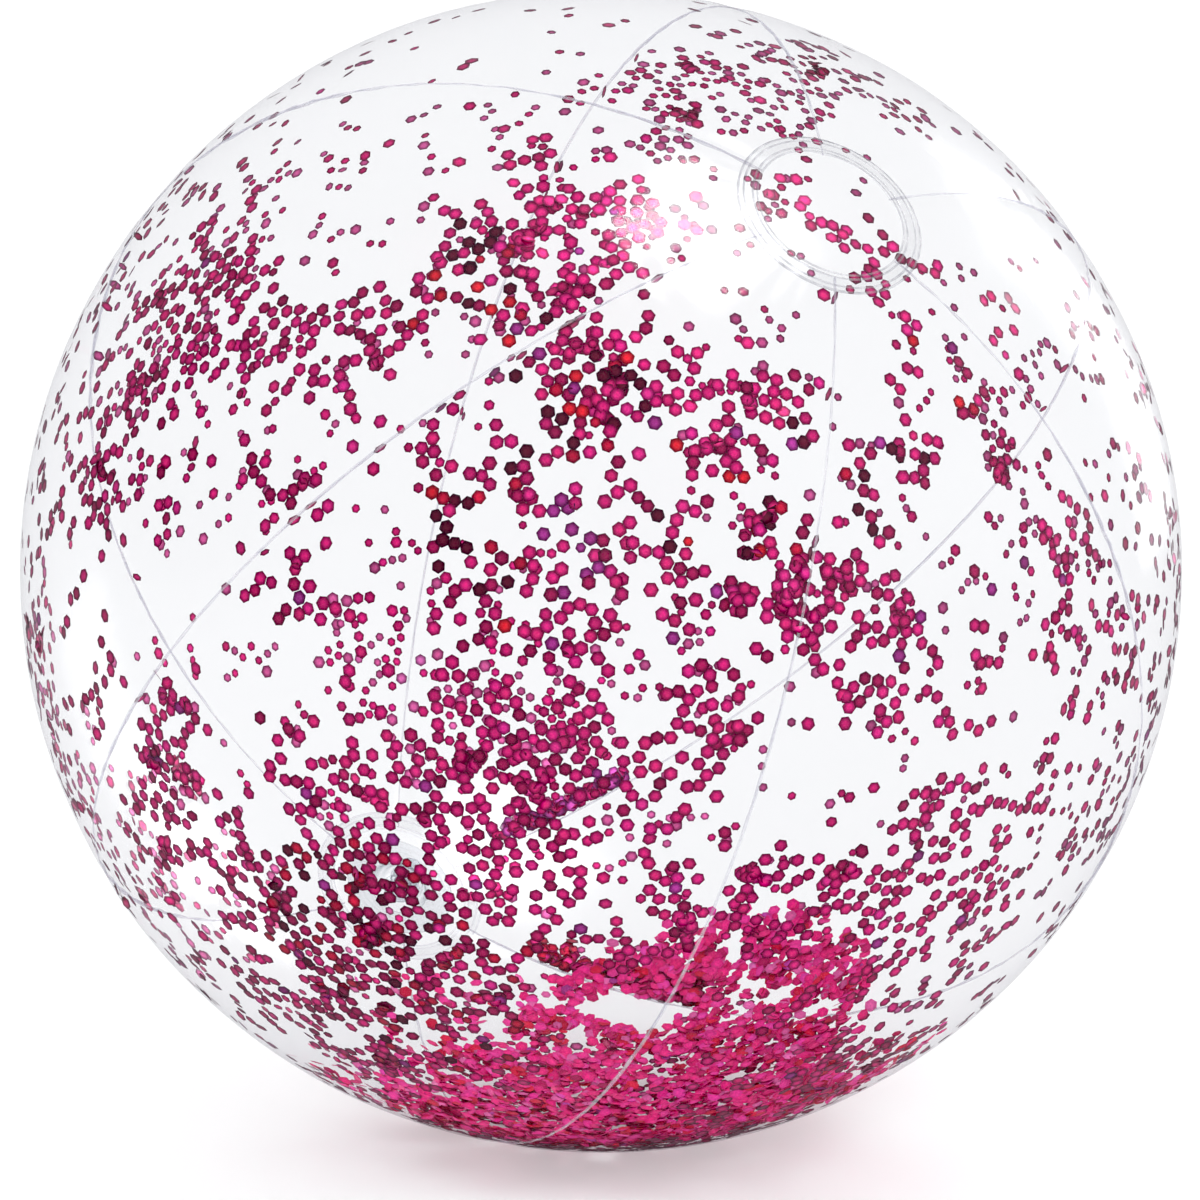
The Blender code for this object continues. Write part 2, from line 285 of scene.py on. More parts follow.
class Nodes:
    """A short way to write a shader's node tree. Each method gives one output socket."""

    def __init__(self, tree):
        self.tree = tree
        tree.nodes.clear()

    def add(self, kind, inputs, output=0, **settings):
        """A node with its inputs, by number or name, joined to a socket or set to a value."""
        node = self.tree.nodes.new(kind)
        for key, value in settings.items():
            setattr(node, key, value)
        for key, value in inputs.items():
            if isinstance(value, bpy.types.NodeSocket):
                self.tree.links.new(value, node.inputs[key])
            else:
                node.inputs[key].default_value = value
        return node.outputs[output] if node.outputs else None

    def shader(self, kind, **values):
        return self.add(kind, {key.replace("_", " "): value for key, value in values.items()})

    def math(self, operation, a, b):
        return self.add("ShaderNodeMath", {0: a, 1: b}, operation=operation)

    def mix(self, share, a, b):
        return self.add("ShaderNodeMix", {0: share, 6: a, 7: b}, 2, data_type="RGBA")

    def blend(self, share, a, b):
        return self.add("ShaderNodeMixShader", {0: share, 1: a, 2: b})

    def noise(self, scale, detail):
        place = self.add("ShaderNodeTexCoord", {}, "Object")
        inputs = {"Vector": place, "Scale": scale, "Detail": detail}
        return self.add("ShaderNodeTexNoise", inputs, "Fac")

    def spread(self, value, low, high, to_low, to_high):
        inputs = dict(enumerate((value, low, high, to_low, to_high)))
        return self.add("ShaderNodeMapRange", inputs)

    def bump(self, height, strength, distance):
        inputs = {"Height": height, "Strength": strength, "Distance": distance}
        return self.add("ShaderNodeBump", inputs)

    def scale(self, vector, by):
        return self.add("ShaderNodeVectorMath", {0: vector, "Scale": by}, operation="SCALE")

    def facing(self):
        return self.add("ShaderNodeLayerWeight", {"Blend": 0.5}, "Facing")

    def ray(self, kind):
        return self.add("ShaderNodeLightPath", {}, kind)

    def out(self, shader, kind="ShaderNodeOutputMaterial"):
        self.add(kind, {"Surface": shader})


def new_material(name):
    """A material and the writer of its node tree."""
    made = bpy.data.materials.new(name)
    made.use_nodes = True
    return made, Nodes(made.node_tree)


def mirror_share(n, most, power):
    """How much the surface mirrors, from little face on to most at the limb."""
    least = 0.02
    limb = n.math("POWER", n.facing(), power)
    return n.math("ADD", n.math("MULTIPLY", limb, most - least), least)


def clear_plastic(n, tint, cream, milky, mirrors, **gloss):
    """See-through plastic: a clear body with a share of milk in it, and a gloss over both."""
    clear = n.shader("ShaderNodeBsdfTransparent", Color=tint)
    milk = n.shader("ShaderNodeBsdfDiffuse", Color=cream)
    coat = n.shader("ShaderNodeBsdfGlossy", Color=(1, 1, 1, 1), **gloss)
    n.out(n.blend(mirrors, n.blend(milky, clear, milk), coat))


def clear_film():
    """Clear PVC film: see-through and glossy, with a grey line where it is seen edge on."""
    made, n = new_material("clear_film")
    smudge = n.noise(7.0, 4.0)
    edge = n.math("POWER", n.facing(), 4.0)
    haze = n.spread(smudge, 0.4, 0.75, 0.0, 0.008)
    wrinkle = n.math("ADD", n.noise(30.0, 3.0), n.math("MULTIPLY", n.noise(110.0, 2.0), 0.25))
    clear_plastic(
        n,
        tint=n.mix(edge, (0.963, 0.964, 0.968, 1), (0.946, 0.946, 0.954, 1)),
        cream=(0.86, 0.87, 0.90, 1),
        milky=n.math("ADD", haze, n.math("MULTIPLY", edge, 0.01)),
        mirrors=mirror_share(n, 0.11, 7.0),
        Roughness=n.spread(smudge, 0.3, 0.7, 0.12, 0.22),
        Normal=n.bump(wrinkle, 0.35, 0.4 * MM),
    )
    return made


def weld_line(name, dark):
    """Heat-sealed film: two layers melted together, greyer than the rest."""
    made, n = new_material(name)
    grain = n.noise(150.0, 3.0)
    clear_plastic(
        n,
        tint=n.mix(grain, (dark, dark, dark + 0.04, 1), (0.96, 0.96, 0.97, 1)),
        cream=n.mix(grain, (0.80, 0.80, 0.84, 1), (0.95, 0.95, 0.97, 1)),
        milky=n.spread(grain, 0.3, 0.7, 0.10, 0.26),
        mirrors=mirror_share(n, 0.18, 7.0),
        Roughness=n.spread(grain, 0.3, 0.7, 0.12, 0.3),
    )
    return made


def clear_valve():
    """Thick moulded clear PVC, slightly milky."""
    made, n = new_material("clear_valve")
    cloud = n.noise(160.0, 3.0)
    edge = n.math("POWER", n.facing(), 2.0)
    haze = n.spread(cloud, 0.3, 0.7, 0.03, 0.09)
    clear_plastic(
        n,
        tint=n.mix(edge, (0.965, 0.97, 0.98, 1), (0.50, 0.54, 0.57, 1)),
        cream=n.mix(cloud, (0.56, 0.60, 0.64, 1), (0.76, 0.79, 0.83, 1)),
        milky=n.math("ADD", haze, n.math("MULTIPLY", edge, 0.2)),
        mirrors=mirror_share(n, 0.4, 5.0),
        Roughness=n.spread(cloud, 0.3, 0.7, 0.14, 0.26),
        Normal=n.bump(n.noise(700.0, 2.0), 0.25, 0.1 * MM),
    )
    return made


def foil():
    """Metallised foil flakes, each with its own colour.

    The alpha of "tint" says how much painted shade darkens a flake toward its rim, as a dished
    flake's tilted edge would be lit, and how much the grazing view darkens it: 1 on the film,
    HEAP_RIM_SHADE in the heap.
    """
    made, n = new_material("magenta_foil")
    tint = n.add("ShaderNodeVertexColor", {}, "Color", layer_name="tint")
    alpha = n.add("ShaderNodeVertexColor", {}, "Alpha", layer_name="tint")
    spot = n.add("ShaderNodeUVMap", {}, "UV", uv_map="flake")
    from_middle = n.add("ShaderNodeVectorMath", {0: spot}, "Value", operation="LENGTH")
    # Painted shade: each flake's colour darkens from its middle to its rim, and the middle is
    # pushed a little brighter, in place of the light a dished flake would catch.
    rim = n.math("MULTIPLY", n.spread(from_middle, 0.3, 0.8, 0.0, 1.0), alpha)
    scratch = n.spread(n.noise(900.0, 2.0), 0.3, 0.7, 0.82, 1.12)
    middle, rim_shade_colour = n.mix(0.1, tint, (1, 0.1, 0.3, 1)), n.mix(0.8, tint, (0.03, 0.0, 0.015, 1))
    normal = n.bump(n.noise(1400.0, 1.0), 0.15, 0.05 * MM)
    lacquer = n.shader(
        "ShaderNodeBsdfPrincipled",
        Base_Color=n.scale(n.mix(rim, middle, rim_shade_colour), scratch),
        Metallic=n.spread(alpha, HEAP_RIM_SHADE, 1.0, 0.0, 0.25),
        Roughness=n.spread(n.noise(300.0, 1.0), 0.3, 0.7, 0.3, 0.45),
        Specular_IOR_Level=0.1,
        Specular_Tint=(0.25, 0.1, 0.15, 1),
        Normal=normal,
    )
    metal = n.shader(
        "ShaderNodeBsdfGlossy", Color=(0.34, 0.28, 0.33, 1), Roughness=0.3, Normal=normal
    )
    on_film = n.spread(alpha, HEAP_RIM_SHADE, 1.0, 0.0, 1.0)
    edge_on = n.math("MULTIPLY", n.math("POWER", n.facing(), 3.0), on_film)
    n.out(n.blend(edge_on, lacquer, metal))
    return made


def floor_paint():
    """A pale table lit a little from below, dimmer in what the film mirrors."""
    made, n = new_material("studio_floor")
    grain = n.noise(3.0, 2.0)
    direct = n.spread(n.ray("Is Glossy Ray"), 0, 1, 1, MIRRORED)
    pale = n.mix(grain, (0.63, 0.63, 0.63, 1), (0.65, 0.65, 0.65, 1))
    paint = n.shader(
        "ShaderNodeBsdfPrincipled",
        Base_Color=n.scale(pale, direct),
        Roughness=0.65,
        Specular_IOR_Level=0.1,
        Emission_Color=(0.98, 0.99, 1.0, 1),
        Emission_Strength=n.math("MULTIPLY", direct, FLOOR_GLOW),
    )
    n.out(paint)
    return made


# -------- wall


def seam_longitudes():
    """The longitude of each panel's west seam, about the pole."""
    middle = sum((TO_BALL @ v.co for v in frame["nodes"]["panel_1"].data.vertices), Vector())
    first = math.atan2(middle.y, middle.x) - math.pi / PANELS
    return [first + math.tau / PANELS * i for i in range(PANELS)]


SEAMS = seam_longitudes()


def spherical(radius, down, longitude):
    """Points in the ball's own frame; down is the angle from the upper pole."""
    across = radius * np.sin(down)
    points = [across * np.cos(longitude), across * np.sin(longitude), radius * np.cos(down)]
    return np.stack(points, axis=-1)


def seam_wave(along, number):
    """How the film puckers along a seam, from -1 to 1."""
    phase = 1.7 * number
    swing = np.sin(math.tau * along / (PUCKER_LONG * 4.3) + phase)
    wave = np.sin(math.tau * along / PUCKER_LONG + 2.2 * swing + 3 * phase)
    return wave * (0.55 + 0.45 * np.sin(math.tau * along / (PUCKER_LONG * 7.1) + 2 * phase))


def wall_offset(down, longitude, number):
    """The film's distance in or out from a true sphere: seam valleys, puckers and slack."""
    west = SEAMS[number]
    across = BALL_R * np.sin(down)
    from_west = (longitude - west) * across
    from_east = (west + math.tau / PANELS - longitude) * across
    along = BALL_R * down
    offset = np.zeros_like(down * longitude)
    for distance, seam in ((from_west, number), (from_east, (number + 1) % PANELS)):
        offset -= VALLEY_DEPTH * np.exp(-((distance / VALLEY_WIDE) ** 2))
        offset += PUCKER_HIGH * np.exp(-((distance / PUCKER_WIDE) ** 2)) * seam_wave(along, seam)
    from_cap = np.minimum(down, math.pi - down) - CAP_END
    ray = np.sin(CAP_RAYS * longitude + 2.0 * np.sin(5 * longitude))
    fade = np.exp(-np.maximum(from_cap, 0) / CAP_RAY_LONG) * (from_cap > 0)
    offset += CAP_RAY_HIGH * ray * fade
    sag = np.sin(5 * down + 3 * np.sin(4 * longitude)) * np.sin(3 * longitude + 2 * down)
    return offset + SLACK * sag


def flattened(points, depth):
    """Push up what would reach below the flat patch under the ball."""
    down = np.array(DOWN)
    limit = CENTRE.z - depth
    over = np.maximum(points @ down - limit, 0)
    return points - over[..., None] * down


def film_panel(number, looks):
    """One gore: film outside and inside, and the welded lips of its two seams."""
    west = SEAMS[number]
    rows = np.linspace(PANEL_END, math.pi - PANEL_END, PANEL_ROWS + 1)[:, None]
    share = (1 - np.cos(np.linspace(0, math.pi, PANEL_COLUMNS + 1)))[None, :] / 2
    across = BALL_R * np.sin(rows)
    rings = []
    for depth, inset in ((0, SEAM_GAP / 2), (FILM, SEAM_GAP / 2 + FILM)):
        edge = inset / across
        longitude = west + edge + (math.tau / PANELS - 2 * edge) * share
        radius = BALL_R - depth + wall_offset(rows, longitude, number)
        rings.append(flattened(spherical(radius, rows, longitude), depth))
    outer, inner = rings
    tips = []
    wave = LIP_RIPPLE * np.sin(BALL_R * rows / LIP_RIPPLE_LONG + 2 * number)
    wave = wave + LIP_SWAY * np.sin(LIP_SWAYS * rows + number)
    for side in (1, -1):
        seam = west if side > 0 else west + math.tau / PANELS
        for inset in (SEAM_GAP / 2, SEAM_GAP / 2 + FILM):
            longitude = seam + side * inset / across
            tip = spherical(BALL_R - LIP + wave, rows, longitude)
            tips.append(flattened(tip, 0.7 * LIP))
    west_out, west_in, east_out, east_in = tips
    ring = np.concatenate([outer, east_out, east_in, inner[:, ::-1], west_in, west_out], axis=1)
    count = ring.shape[1]
    last = PANEL_COLUMNS
    faces, slots = [], []
    for row in range(PANEL_ROWS):
        for i in range(count):
            a, b = row * count + i, row * count + (i + 1) % count
            faces.append((a, b, b + count, a + count))
            film_face = 0 < i < last - 1 or last + 3 < i < 2 * last + 2
            slots.append(0 if film_face else 1)
    for start, flip in ((0, False), (PANEL_ROWS * count, True)):
        ends = [(i, 2 * last + 3 - i, 2 * last + 2 - i, i + 1) for i in range(last)]
        ends.append((last, last + 3, last + 2, last + 1))
        ends.append((0, 2 * last + 5, 2 * last + 4, 2 * last + 3))
        for face in ends:
            face = [start + i for i in face]
            faces.append(face[::-1] if flip else face)
            slots.append(1)
    obj = piece(f"film_panel_{number + 1}", ring.reshape(-1, 3), faces, looks, BALL, slots)
    face_out(obj)
    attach(obj, "shell")
    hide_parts(f"panel_{number + 1}")


def cap_outline(hole_r):
    """An end cap's section: a disc of film with a thin weld bead along each edge of its rings."""
    bead = BEAD_HALF / BALL_R
    start = math.asin(hole_r / CAP_OUT)
    first = WELD_RINGS[0][0] * CAP_END
    outside = [(start + (first - start) * i / 12, 0.0, 0) for i in range(12)]
    for inner, outer in WELD_RINGS:
        low, high = inner * CAP_END, outer * CAP_END
        for edge in (low + bead, high - bead):
            for i in range(7):
                height = RING_HIGH + BEAD_HIGH * math.cos(math.pi * (i - 3) / 6) ** 2
                outside.append((edge + bead * (i - 3) / 3, height, 1 if i < 6 else 0))
    outside[-1] = (CAP_END, RING_HIGH, 1)
    inside = [(CAP_END - (CAP_END - start) * i / 14, None, 0) for i in range(15)]
    outline, slots = [], []
    for angle, height, slot in outside + inside:
        radius = CAP_IN if height is None else CAP_OUT + height
        outline.append((radius * math.sin(angle), radius * math.cos(angle)))
        slots.append(slot)
    return outline, slots


def end_cap(name, node, hole_r, place, looks):
    """A round cap of film over the gores' ends."""
    outline, slots = cap_outline(hole_r)
    obj = turned(name, outline, looks, place, steps=CAP_STEPS, slot_of=lambda i: slots[i])
    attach(obj, "shell")
    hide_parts(node)


# -------- valve


def in_metres(outline):
    """An outline given in millimetres, in metres."""
    return [(radius * MM, height * MM) for radius, height in outline]


def valve_flange(look):
    """The welded foot of the valve, inside the lower cap, with moulded rings."""
    top, bottom = [], []
    steps = 44
    for i in range(steps + 1):
        r = RECESS_R + (FLANGE_R - RECESS_R) * i / steps
        rings = FLANGE_RINGS * max(0, math.sin(math.tau * i / 11)) if 4 < i < steps - 4 else 0
        top.append((r, math.sqrt(BALL_R**2 - r**2) - CAP_OUT - FLANGE_GAP + rings))
        bottom.append((r, math.sqrt((BALL_R - FLANGE_THICK) ** 2 - r**2) - CAP_OUT))
    obj = turned("valve_foot", top + bottom[::-1], [look], VALVE)
    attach(obj, "shell")
    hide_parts("valve_flange")


def valve_collar(look):
    """The soft funnel between the foot and the stem, with folds where it turns over."""
    middle = []
    steps = 30
    for i in range(steps + 1):
        share = i / steps
        fold = COLLAR_FOLD * math.sin(5 * math.pi * share) * math.sin(math.pi * share)
        height = COLLAR_TOP - COLLAR_DEEP * (1 - (1 - share) ** 2) + fold
        middle.append(Vector((COLLAR_FROM + (COLLAR_TO - COLLAR_FROM) * share, height)))
    upper, lower = [], []
    for i, here in enumerate(middle):
        along = (middle[min(i + 1, steps)] - middle[max(i - 1, 0)]).normalized()
        side = Vector((-along.y, along.x)) * (0.22 + 0.1 * i / steps) * MM
        upper.append(tuple(here + side))
        lower.append(tuple(here - side))
    obj = turned("valve_skirt", upper + lower[::-1], [look], VALVE)
    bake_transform(obj)
    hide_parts("valve_collar")


def valve_stem(look):
    """The tube with its rim and grip ring, and the tab that holds the strap's hinge."""
    tube = turned("valve_tube", rounded(in_metres(STEM_OUTLINE), 0.3 * MM), [look], VALVE)
    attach(tube, "valve")
    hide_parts("valve_stem")
    tab = slab("strap_tab", *STRAP_TAB, look, VALVE)
    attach(tab, "valve")


def slab(name, low, high, look, place):
    """A small plate with all its edges rounded."""
    size = [b - a for a, b in zip(low, high)]
    across, tall = [], []
    radius = min(size) * 0.35
    corners = 5
    for cx, cy, turn in ((1, 1, 0), (-1, 1, 1), (-1, -1, 2), (1, -1, 3)):
        for i in range(corners + 1):
            angle = math.pi / 2 * (turn + i / corners)
            x = cx * (size[0] / 2 - radius) + radius * math.cos(angle)
            y = cy * (size[1] / 2 - radius) + radius * math.sin(angle)
            across.append((x, y))
    middle = [(a + b) / 2 for a, b in zip(low, high)]
    for i in range(corners + 1):
        angle = math.pi / 2 * i / corners
        tall.append((radius * (1 - math.sin(angle)), size[2] / 2 - radius * (1 - math.cos(angle))))
    levels = [(inset, -z) for inset, z in tall[::-1]] + tall
    levels.sort(key=lambda level: level[1])
    sections = []
    for inset, z in levels:
        k = 1 - inset / (min(size[0], size[1]) / 2)
        section = [(middle[0] + x * k, middle[1] + y * k, middle[2] + z) for x, y in across]
        sections.append(section)
    return piece(name, *lofted(sections), [look], place)


def valve_plug(look):
    """The plug's domed head with a thumb ring, and its pin, tapered to swing out freely."""
    swing = 2 * (HINGE_X / MM + 4.0)
    pin = []
    for i in range(PIN_STEPS + 1):
        depth = PIN_LONG * i / PIN_STEPS
        pin.append((PIN_R - 1.2 * (depth + 0.2) ** 2 / swing, PIN_TOP - depth))
    outline = in_metres(PLUG_HEAD + pin + PIN_END)
    plug = turned("plug_head", rounded(outline, 0.25 * MM), [look], VALVE)
    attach(plug, "plug")
    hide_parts("valve_plug")


def plug_strap(look):
    """The band from the plug's head to its living hinge, thinned at both ends."""
    sections = []
    for i in range(STRAP_STEPS + 1):
        share = i / STRAP_STEPS
        arch = STRAP_ARCH * math.sin(math.pi * share)
        half = (2.0 - 0.45 * math.sin(math.pi * share)) * MM
        thick = (0.3 + 0.1 * math.sin(math.pi * share)) * MM
        low = STRAP_LIFT + arch
        x = STRAP_FROM + (HINGE_X - STRAP_FROM) * share
        section = []
        for k in range(STRAP_SIDES):
            angle = math.tau * k / STRAP_SIDES
            y = half * math.copysign(abs(math.cos(angle)) ** 0.4, math.cos(angle))
            z = low + thick * math.copysign(abs(math.sin(angle)) ** 0.6, math.sin(angle))
            section.append((x, y, z))
        sections.append(section)
    obj = piece("plug_band", *lofted(sections), [look], VALVE)
    face_out(obj)
    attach(obj, "plug")
    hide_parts("plug_strap")


def check_flap(look):
    """The soft disc that closes the stem's inner end."""
    obj = turned("flap_disc", rounded(in_metres(FLAP_OUTLINE), 0.12 * MM), [look], VALVE)
    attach(obj, "flap")
    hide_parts("check_flap")


# -------- glitter

# Bands where flakes gather on the film: azimuth from -Y toward +X and elevation of each end, in
# degrees seen from the ball's centre, then the half width and the share of film they cover.
DRIFTS = (
    (-51, 65, -48, 64, 5, 0.20),
    (-42, 50, -42, 42, 6, 0.34),
    (-50, 42, -51, 40, 4, 0.26),
    (-37, 45, -33, 44, 5, 0.42),
    (-34, 36, -30, 33, 5, 0.42),
    (-84, 31, -62, 34, 6, 0.46),
    (-90, 38, -80, 40, 5, 0.10),
    (-86, 24, -88, 13, 6, 0.26),
    (-74, 18, -62, 16, 5, 0.16),
    (-76, 25, -68, 27, 5, 0.10),
    (-34, 28, -20, 27, 5, 0.42),
    (-41, 24, -38, 22, 4, 0.20),
    (-29, 48, -27, 48, 3, 0.22),
    (-17, 25, -17, 23, 4, 0.22),
    (-50, 20, -46, 17, 4, 0.28),
    (-29, 15, -20, 14, 5, 0.50),
    (-16, 14, -6, 14, 4, 0.22),
    (-43, 9, -27, 8, 5, 0.34),
    (-64, 12, -56, 6, 5, 0.22),
    (-22, 6, -24, 1, 4, 0.26),
    (-40, 2, -29, 3, 5, 0.32),
    (-9, 7, -7, -1, 4, 0.54),
    (0, -1, 2, -4, 4, 0.14),
    (-88, -4, -73, -8, 6, 0.18),
    (20, 9, 19, -6, 4, 0.22),
    (-47, -7, -34, -7, 5, 0.66),
    (-30, -5, -20, -6, 4, 0.42),
    (-43, -13, -38, -13, 5, 0.46),
    (-57, -13, -58, -21, 6, 0.36),
    (-54, -20, -48, -21, 4, 0.70),
    (-82, -18, -79, -18, 5, 0.30),
    (-66, -25, -64, -37, 6, 0.52),
    (-66, -45, -61, -44, 5, 0.46),
    (-76, -39, -74, -38, 5, 0.20),
    (-56, -27, -51, -29, 5, 0.50),
    (-50, -35, -45, -34, 4, 0.36),
    (-43, -26, -41, -26, 4, 0.25),
    (-36, -20, -34, -24, 5, 0.22),
    (0, -16, 13, -17, 5, 0.30),
    (-25, -20, -8, -21, 5, 0.30),
    (-22, -24, -5, -24, 4, 0.16),
    (-3, -23, 14, -25, 5, 0.18),
    (4, 27, 2, 19, 5, 0.26),
    (5, 42, 1, 40, 3, 0.42),
    (-2, 48, -4, 46, 3, 0.24),
    (0, 41, 18, 34, 5, 0.16),
    (4, -31, 12, -33, 4, 0.35),
    (4, -48, 8, -48, 5, 0.25),
    (138, 50, 114, 53, 7, 0.42),
    (142, 36, 136, 28, 7, 0.12),
    (105, 61, 94, 47, 5, 0.34),
    (38, 68, 33, 60, 4, 0.10),
    (-163, -50, -158, -56, 7, 0.10),
    (100, 8, 88, -6, 8, 0.12),
    (-150, 20, -165, 30, 9, 0.12),
    (170, -20, 160, -28, 9, 0.14),
    (60, -5, 66, -30, 10, 0.08),
    (-125, -10, -130, -35, 9, 0.16),
)
# Bare bands of film: both ends and the half width
BARE = (
    (-10, 44, -6, 40, 3),
    (-29, -3, -28, 2, 3),
    (-52, 9, -51, 7, 3),
    (-57, 43, -56, 41, 3),
    (-70, 48, -64, 41, 5),
    (-76, 41, -72, 42, 3),
    (-20, 37, -19, 34, 4),
    (-17, 57, -16, 55, 4),
    (9, 19, 14, 17, 4),
    (-12, 18, -11, 17, 3),
    (-82, 4, -73, 6, 6),
    (26, 44, 38, 40, 11),
    (12, 50, 8, 54, 7),
    (-12, -12, -6, -12, 4),
    (1, 13, 9, 12, 4),
    (30, 20, 24, 24, 6),
    (-55, 13, -53, 12, 3),
    (-142, -10, -142, -8, 8),
    (98, 38, 90, 36, 9),
    (146, -64, 134, -65, 3),
    (-34, -35, -24, -35, 4),
    (150, -2, 146, -2, 6),
    (-75, 54, -40, 62, 6),
)
# The heap of loose flakes: azimuth, elevation, angular radius and depth of each part
HEAP_PATCHES = (
    (120, -70, 17, 1.2),
    (115, -62, 12, 1.2),
    (10, -88, 22, 1.25),
    (-172, -66, 12, 0.10),
    (10, -60, 14, 0.30),
    (-100, -68, 12, 0.12),
)
HEAP_REACH = 46
CLINGING = 0.45
FILM_DENSITY = 0.085
TOP_DENSITY = 0.025

MAGENTA = (0.84, 0.018, 0.235)
HOT_PINK = (0.95, 0.026, 0.240)
WINE = (0.44, 0.008, 0.105)
CRIMSON = (0.62, 0.007, 0.040)
RED = (0.94, 0.018, 0.022)
MAROON = (0.05, 0.001, 0.008)
PURPLE = (0.42, 0.040, 0.33)
LILAC = (0.60, 0.09, 0.46)
# PALE on flakes' inner faces is painted light: far-wall flakes seen from inside look paler as light
# comes through the ball.
PALE = (0.78, 0.14, 0.42)
BRIGHT = (0.95, 0.050, 0.36)

# Piles against seams: the seam, the angles from the upper pole they run between in degrees, the
# number of flakes, how wide they spread and their colour
LEDGES = (
    (0, 150, 167, 120, 3.0 * MM, LILAC),
    (5, 143, 166, 190, 7.0 * MM, CRIMSON),
)

# Where flakes of one odd colour lie, some of it painted light as marked below: azimuth,
# elevation and angular radius in degrees
EMBERS = ((-46, 38, 5), (-34, 25, 6), (-46, 13, 6), (-18, 16, 5), (-7, 18, 5), (10, 24, 5))
# Painted shade: flakes low on the left get dark colours in place of the shadowed floor they would
# mirror.
SHADED_CORNER = ((-54, -32, 11), (-62, -22, 7))
# Painted reflection at the last two spots, on the far wall at the top right: purple there stands
# for the veil the film lays over flakes seen through it at a grazing angle; the other spots are
# flakes of that colour.
VIOLETS = ((-45, 28, 5), (-35, 15, 5), (-3, 19, 4), (125, 52, 10), (100, 55, 8))


def outward(azimuth, elevation):
    """A unit vector from angles in degrees; azimuth runs from -Y toward +X."""
    a, e = math.radians(azimuth), math.radians(elevation)
    return Vector((math.sin(a) * math.cos(e), -math.cos(a) * math.cos(e), math.sin(e)))


def direction(azimuth, elevation):
    """The same, turned into the ball's own frame."""
    return TO_BALL.to_3x3() @ outward(azimuth, elevation)


def bands(rows):
    """(points along each band, half widths, amounts), from rows with one end or two."""
    ways, widths, amounts = [], [], []
    for row in rows:
        start = direction(*row[:2])
        two_ended = len(row) > 3
        end = direction(*row[2:4]) if two_ended else start
        rest = row[4:] if two_ended else row[2:]
        ways.append([start.slerp(end, i / 6) if two_ended else start for i in range(7)])
        widths.append(math.radians(rest[0]))
        amounts.append(rest[1] if len(rest) > 1 else 1.0)
    return np.array(ways), np.array(widths), np.array(amounts)


DRIFT_BANDS = bands(DRIFTS)
BARE_BANDS = bands(BARE)
EMBER_SPOTS = bands(EMBERS)
SHADED_SPOTS = bands(SHADED_CORNER)
VIOLET_SPOTS = bands(VIOLETS)


def nearness(way, patches):
    """How much each patch counts at a direction: all of it inside, falling off past its edge."""
    ways, widths, amounts = patches
    angles = np.arccos(np.clip(ways @ np.array(way), -1, 1)).min(axis=1)
    return float((amounts * np.exp(-((angles / widths) ** 2))).sum())


def density(way):
    """The share of film that glitter covers at a direction, in clumps with bare film between."""
    height = -way.dot(DOWN)
    base = TOP_DENSITY if height > 0.75 else FILM_DENSITY
    amount = base + nearness(way, DRIFT_BANDS)
    if height < -0.7:
        amount += CLINGING * heap_depth(way)
    clump = noise.noise(way * 15.0 + CLUMPS_AT) + 0.6 * noise.noise(way * 31.0 + 1.2 * CLUMPS_AT)
    clumped = min(max(CLUMP_MIDDLE + CLUMP_GAIN * clump, CLUMP_LEAST), CLUMP_MOST)
    amount *= clumped * (1 + 0.5 * fine_share(way))
    return amount * outside_bare(way, 1.4)


def outside_bare(way, reach):
    """0 in a bare band and 1 well outside them all; a higher reach makes the bands wider."""
    return 1 - min(nearness(way, BARE_BANDS) * reach, 1.0)


def fine_share(way):
    """The share of flakes that are of the finer size at a direction."""
    return min(max(0.25 + 0.9 * way.dot(direction(*FINE_SIDE)), 0.06), 0.7)


def random_way(rng):
    """A random direction, each as likely as any other."""
    z = rng.uniform(-1, 1)
    turn = rng.uniform(0, math.tau)
    across = math.sqrt(1 - z * z)
    return Vector((across * math.cos(turn), across * math.sin(turn), z))


def tangent(way, rng):
    """A random direction square to this one."""
    side = way.orthogonal().normalized()
    return Matrix.Rotation(rng.uniform(0, math.tau), 3, way) @ side


def tilted(way, tilt, rng):
    """The direction, tilted by an angle to a random side."""
    return (Matrix.Rotation(tilt, 3, tangent(way, rng)) @ way).normalized()


def near_valve(way, reach):
    """Whether a direction is within reach of the valve's axis."""
    return way.z < -math.cos(math.asin(reach / BALL_R))


def panel_at(spot):
    """The number of the panel that a direction or a point lies on."""
    turn = (math.atan2(spot.y, spot.x) - SEAMS[0]) % math.tau
    return int(turn / (math.tau / PANELS)) % PANELS


def above_patch(centre, gap):
    """The point, moved up where it is nearer than gap to the film of the flat patch."""
    low = centre.dot(DOWN) - (CENTRE.z - FILM - gap)
    return centre - DOWN * low if low > 0 else centre


class Crowd:
    """Spots already taken, in cells, so that flakes lie beside each other."""

    def __init__(self, spacing):
        self.cells = {}
        self.size = spacing

    def cell(self, spot):
        return tuple(int(math.floor(c / self.size)) for c in spot)

    def free(self, spot):
        x, y, z = self.cell(spot)
        near = (-1, 0, 1)
        cells = ((x + i, y + j, z + k) for i in near for j in near for k in near)
        taken = (other for cell in cells for other in self.cells.get(cell, ()))
        return all((other - spot).length >= self.size for other in taken)

    def take(self, spot):
        self.cells.setdefault(self.cell(spot), []).append(spot)


